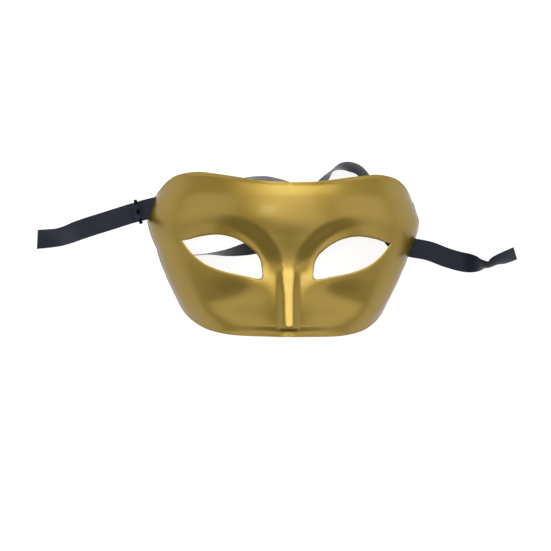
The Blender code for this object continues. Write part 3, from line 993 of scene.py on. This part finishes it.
@dataclass
class RibbonPiece:
    """One satin ribbon: sewn loop round the rim bar, then the run over the table."""

    side: Side
    run: tuple[Row, ...]
    node: str

    def sewn_loop(self) -> list[Vector]:
        """Centre line of the tail, the loop and the layer over the tail.

        Returns:
            Points of the centre line.
        """
        middle, _ = slot_frame(self.side)
        heading = leaving(self.side)
        lower = 0.5 * RIBBON.thick
        upper = lower + RIBBON.thick + RIBBON.gap
        slot = middle.z
        corner = RIBBON.corner
        tail = RIBBON.tail
        slack = 0.5 * RIBBON.width * math.tan(ribbon_skew(self.side))
        if self.side is Side.LEFT:
            back = -SHELL.wall / math.cos(ribbon_skew(self.side)) - slack - RIBBON.gap
            front = slack + RIBBON.slot_play + lower
        else:
            back = corner - lower - RIBBON.gap + 0.0003
            front = SHELL.wall + RIBBON.gap + lower
        rows = [(tail * (1.0 - 0.05 * step), lower) for step in range(16)]
        rows.append((back + 0.4 * (0.25 * tail - back), lower))
        for step in range(9):
            angle = step * math.pi / 16.0
            rows.append((back - corner * math.sin(angle), lower + corner * (1.0 - math.cos(angle))))
        for step in range(9):
            angle = step * math.pi / 16.0
            rows.append((back - corner * math.cos(angle), slot - corner * (1.0 - math.sin(angle))))
        rows.append((0.5 * (back + front), slot))
        rows.append((front, slot))
        for step in range(1, 12):
            share = step / 12.0
            fall = smooth_step(0.0, 1.0, share)
            rows.append((front + share * (0.75 * tail - front), slot + fall * (upper - slot)))
        rows += [(tail * (0.75 + 0.05 * step), upper) for step in range(6)]
        rows.append((tail + RIBBON.thick, upper))
        if self.side is Side.LEFT:
            rows.append((tail + 4.0 * RIBBON.thick, 0.5 * (upper + lower)))
            rows.append((tail + 7.0 * RIBBON.thick, lower))
        foot = Vector((middle.x, middle.y, 0.0))
        return [foot + heading * along + Vector((0.0, 0.0, height)) for along, height in rows]

    def offsets(self, forward: Vector, roll: float, curl: float) -> list[tuple[Vector, Vector]]:
        """Centre surface across the ribbon.

        Args:
            forward: direction of travel.
            roll: roll about it in radians.
            curl: bow of the cross-section, share of the width.

        Returns:
            Offset and surface normal for each place across.
        """
        flat = Vector((-forward.y, forward.x, 0.0)).normalized()
        rise = forward.cross(flat).normalized()
        wide = flat * math.cos(roll) + rise * math.sin(roll)
        face = forward.cross(wide).normalized()
        found = []
        for step in range(RIBBON.across + 1):
            share = step / RIBBON.across - 0.5
            bow = curl * RIBBON.width * (1.0 - 4.0 * share * share)
            lean = wide * (8.0 * curl * share) + face
            found.append((wide * share * RIBBON.width + face * bow, lean.normalized()))
        return found

    def directions(self, places: Sequence[Vector]) -> list[Vector]:
        """Directions of travel.

        Args:
            places: the places of the line.

        Returns:
            One unit vector for each place.
        """
        last = len(places) - 1
        return [
            (places[min(last, index + 1)] - places[max(0, index - 1)]).normalized()
            for index in range(last + 1)
        ]

    def stations(self, start: Sequence[Vector]) -> list[tuple[Vector, float, float]]:
        """Places, rolls and curls of the run, resting on the table.

        Args:
            start: the last places of the sewn loop.

        Returns:
            One place, roll and curl for each section.
        """
        rows = [(place.x, place.y, 0.0, 0.0) for place in start]
        for across, up, roll, curl in self.run:
            spot = (across * SHELL.half_width, up * SHELL.chin_drop)
            rows.append((*spot, math.radians(roll), curl))
        points = curve_points(rows, 40)[40:]
        flat = [Vector((point[0], point[1], 0.0)) for point in points]
        length = sum((there - here).length for here, there in zip(flat, flat[1:]))
        points = resample(points, flat, round(length / RIBBON.step), 1.0)
        flat = [Vector((point[0], point[1], 0.0)) for point in points]
        found = []
        for place, forward, point in zip(flat, self.directions(flat), points):
            roll, curl = point[2:]
            lowest = min(
                offset.z - 0.5 * RIBBON.thick * abs(face.z)
                for offset, face in self.offsets(forward, roll, curl)
            )
            found.append((place - Vector((0.0, 0.0, lowest)), roll, curl))
        return found

    def mesh(self) -> tuple[bpy.types.Mesh, float]:
        """Closed strip with a UV map in metres along and across.

        Returns:
            The mesh and the ribbon's length.
        """
        loop = self.sewn_loop()
        heading = leaving(self.side)
        stations = self.stations(loop[-2:])[1:]
        places = loop + [place for place, _, _ in stations]
        sideways = Vector((-heading.y, heading.x, 0.0))
        work = bmesh.new()
        layer = work.loops.layers.uv.new("UVMap")
        sections = []
        way = [0.0]
        for here, there in zip(places, places[1:]):
            way.append(way[-1] + (there - here).length)
        for index, (place, forward) in enumerate(zip(places, self.directions(places))):
            if index < len(loop):
                face = forward.cross(sideways).normalized()
                offsets = [
                    (sideways * (step / RIBBON.across - 0.5) * RIBBON.width, face)
                    for step in range(RIBBON.across + 1)
                ]
            else:
                _, roll, curl = stations[index - len(loop)]
                offsets = self.offsets(forward, roll, curl)
            square = max(0.0, 1.0 - (places[-1] - place).length / RIBBON.width)
            ring = []
            for lift in (0.5, -0.5):
                line = []
                for offset, face in offsets:
                    shift = forward * (-offset.x / forward.x * square) if square > 0.0 else Vector()
                    corner = place + offset + shift + face * lift * RIBBON.thick
                    corner.z = max(0.0, corner.z)
                    line.append(work.verts.new(corner))
                ring.extend(line if lift > 0.0 else line[::-1])
            sections.append(ring)
        size = len(sections[0])
        shares = [step / RIBBON.across for step in range(RIBBON.across + 1)]
        shares += shares[::-1]
        for number, (here, there) in enumerate(zip(sections, sections[1:])):
            for index in range(size):
                after = (index + 1) % size
                face = work.faces.new((here[index], here[after], there[after], there[index]))
                spots = ((index, number), (after, number), (after, number + 1), (index, number + 1))
                for corner, (column, line) in zip(face.loops, spots):
                    corner[layer].uv = (shares[column] * RIBBON.width, way[line])
        for ring in (sections[0], sections[-1]):
            for index in range(RIBBON.across):
                work.faces.new((ring[index], ring[index + 1], ring[size - 2 - index], ring[size - 1 - index]))
        bmesh.ops.recalc_face_normals(work, faces=work.faces)
        mesh = bpy.data.meshes.new(self.node)
        work.to_mesh(mesh)
        work.free()
        return mesh, way[-1]

    def build(self, satin: bpy.types.Material, shell: bpy.types.Object) -> bpy.types.Object:
        """Make the ribbon.

        Args:
            satin: its material.
            shell: the piece it is sewn to; not used.

        Returns:
            The ribbon.
        """
        mesh, length = self.mesh()
        ribbon = new_object(f"satin_{self.node}", mesh)
        mesh.materials.append(satin)
        smooth_faces(mesh)
        mesh.set_sharp_from_angle(angle=math.radians(50.0))
        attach(ribbon, BODY)
        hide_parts(self.node)
        LOG.info("%s: %.3f m long", ribbon.name, length)
        return ribbon


@dataclass
class StitchRow:
    """Thick stitches through the two layers of a ribbon's sewn loop."""

    side: Side
    along: float = 0.0090
    count: int = 3
    pitch: float = 0.0066
    strands: int = 3
    length: float = 0.0037
    radius: float = 0.00040

    def build(self, thread: bpy.types.Material) -> bpy.types.Object:
        """Make the row of stitches.

        Args:
            thread: their material.

        Returns:
            The stitches, one object.
        """
        middle, _ = slot_frame(self.side)
        heading = leaving(self.side)
        sideways = Vector((-heading.y, heading.x, 0.0))
        foot = Vector((middle.x, middle.y, 0.0))
        work = bmesh.new()
        for number in range(self.count):
            for strand in range(self.strands):
                along = self.along + (strand - 0.5 * (self.strands - 1)) * 1.8 * self.radius
                middle_line = foot + heading * along
                self.one(work, middle_line, sideways, (number - 0.5 * (self.count - 1)) * self.pitch)
        mesh = bpy.data.meshes.new("stitches")
        work.to_mesh(mesh)
        work.free()
        stitches = new_object(f"stitches_{self.side.name.lower()}", mesh)
        mesh.materials.append(thread)
        smooth_faces(mesh)
        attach(stitches, BODY)
        LOG.info("%s: %d stitches", stitches.name, self.count)
        return stitches

    def one(self, work: bmesh.types.BMesh, line: Vector, sideways: Vector, shift: float) -> None:
        """Add one strand, which lies on the ribbon and goes down over its edge.

        Args:
            work: mesh to add to.
            line: place on the floor below the ribbon's centre line.
            sideways: the strand's direction.
            shift: how far its middle is from the centre line.
        """
        top = 2.0 * RIBBON.thick + RIBBON.gap + 0.25 * self.radius
        rings = []
        stops = 10
        around = 10
        out = sideways.cross(Vector((0.0, 0.0, 1.0)))
        for stop in range(stops + 1):
            share = 2.0 * stop / stops - 1.0
            size = self.radius * math.sqrt(max(0.04, 1.0 - share ** 4))
            off = shift + share * 0.5 * self.length
            place = line + sideways * off
            over = smooth_step(0.5 * RIBBON.width - 0.0004, 0.5 * RIBBON.width + 0.0008, abs(off))
            place.z = (top - self.radius * share * share * 0.9) * (1.0 - over) + self.radius * over
            ring = []
            for step in range(around):
                angle = 2.0 * math.pi * step / around
                ring.append(work.verts.new(
                    place + out * math.cos(angle) * size + Vector((0.0, 0.0, math.sin(angle) * size))
                ))
            rings.append(ring)
        for here, there in zip(rings, rings[1:]):
            for index in range(around):
                after = (index + 1) % around
                work.faces.new((here[index], here[after], there[after], there[index]))
        work.faces.new(rings[0][::-1])
        work.faces.new(rings[-1])


@dataclass
class Studio:
    """Camera, lights and table."""

    camera_place: Row = (-0.0453, -0.0192, 0.850)
    camera_aim: Row = (-0.0014, -0.0192, 0.0)
    roll: float = -0.7
    lens: float = 83.3

    def camera(self) -> None:
        """Put the camera where the photograph was taken from."""
        data = bpy.data.cameras.new("camera")
        data.lens = self.lens
        data.sensor_width = 36.0
        data.clip_end = 10.0
        camera = bpy.data.objects.new("camera", data)
        bpy.context.scene.collection.objects.link(camera)
        place = Vector(self.camera_place)
        look = (Vector(self.camera_aim) - place).normalized()
        right = look.cross(Vector((0.0, 1.0, 0.0))).normalized()
        turned = Matrix.Rotation(math.radians(self.roll), 3, look) @ right
        up = turned.cross(look)
        axes = Matrix((turned, up, -look)).transposed()
        camera.matrix_world = Matrix.Translation(place) @ axes.to_4x4()
        bpy.context.scene.camera = camera

    def lamp(self, name: str, place: Row, aim: Row, size: Row, bright: float) -> None:
        """Soft box.

        Args:
            name: name of the light.
            place: where it hangs.
            aim: what it points at.
            size: its width and height.
            bright: radiance of its face.
        """
        data = bpy.data.lights.new(name, "AREA")
        data.shape = "RECTANGLE"
        data.size, data.size_y = size
        data.energy = bright * math.pi * size[0] * size[1]
        light = bpy.data.objects.new(name, data)
        bpy.context.scene.collection.objects.link(light)
        light.location = place
        aim_line = Vector(aim) - Vector(place)
        light.rotation_euler = aim_line.to_track_quat("-Z", "Y").to_euler()

    def table(self) -> None:
        """Pale plain table."""
        work = bmesh.new()
        bmesh.ops.create_grid(work, x_segments=1, y_segments=1, size=3.0)
        mesh = bpy.data.meshes.new("floor")
        work.to_mesh(mesh)
        work.free()
        floor = bpy.data.objects.new("floor", mesh)
        bpy.context.scene.collection.objects.link(floor)
        floor.location.z = -0.0001
        material = bpy.data.materials.new("white_table")
        material.use_nodes = True
        tree = material.node_tree
        shader = tree.nodes["Principled BSDF"]
        shader.inputs["Roughness"].default_value = 0.8
        shader.inputs["Specular IOR Level"].default_value = 0.1
        shader.inputs["Emission Color"].default_value = (1.0, 1.0, 1.0, 1.0)
        shader.inputs["Emission Strength"].default_value = 0.88
        grain = tree.nodes.new("ShaderNodeTexNoise")
        grain.inputs["Scale"].default_value = 4.0
        tone = tree.nodes.new("ShaderNodeMix")
        tone.data_type = "RGBA"
        tone.inputs["A"].default_value = (0.24, 0.24, 0.24, 1.0)
        tone.inputs["B"].default_value = (0.26, 0.26, 0.26, 1.0)
        tree.links.new(grain.outputs["Fac"], tone.inputs["Factor"])
        tree.links.new(tone.outputs["Result"], shader.inputs["Base Color"])
        mesh.materials.append(material)

    def surround(self) -> None:
        """Even light from all sides."""
        world = bpy.data.worlds.new("surround")
        world.use_nodes = True
        back = world.node_tree.nodes["Background"]
        back.inputs["Color"].default_value = (1.0, 1.0, 1.0, 1.0)
        back.inputs["Strength"].default_value = 0.38
        bpy.context.scene.world = world

    def build(self) -> None:
        """Make the whole studio."""
        self.table()
        self.surround()
        self.lamp("key", (0.12, 1.22, 0.95), (0.0, 0.0, 0.05), (1.6, 0.7), 4.1)
        self.lamp("front", (0.08, 0.85, 1.45), (0.0, 0.0, 0.05), (0.9, 0.7), 1.9)
        self.lamp("over", (0.12, 0.04, 1.80), (0.0, 0.0, 0.0), (2.5, 1.2), 1.25)
        self.lamp("left", (-1.50, 0.10, 0.90), (0.0, 0.0, 0.0), (1.4, 1.5), 0.95)
        self.lamp("right", (1.50, 0.10, 0.90), (0.0, 0.0, 0.0), (1.4, 1.5), 1.00)
        self.lamp("spark", (-0.24, 0.02, 1.35), (0.0, 0.0, 0.06), (0.08, 0.08), 40.0)
        self.camera()
        bpy.context.scene.view_settings.view_transform = "Standard"
        LOG.info("studio: table, surround, lamps and camera")


def main() -> None:
    """Build every piece.
    """
    logging.basicConfig(level=logging.INFO, format="%(name)s %(message)s")
    Studio().build()
    shell = ShellPiece().build()
    satin = Cloth(SATIN).build()
    thread = Cloth(THREAD).build()
    RibbonPiece(Side.LEFT, LEFT_RUN, "ribbon_left").build(satin, shell)
    RibbonPiece(Side.RIGHT, RIGHT_RUN, "ribbon_right").build(satin, shell)
    for side in Side:
        StitchRow(side).build(thread)


if __name__ == "__main__":
    main()
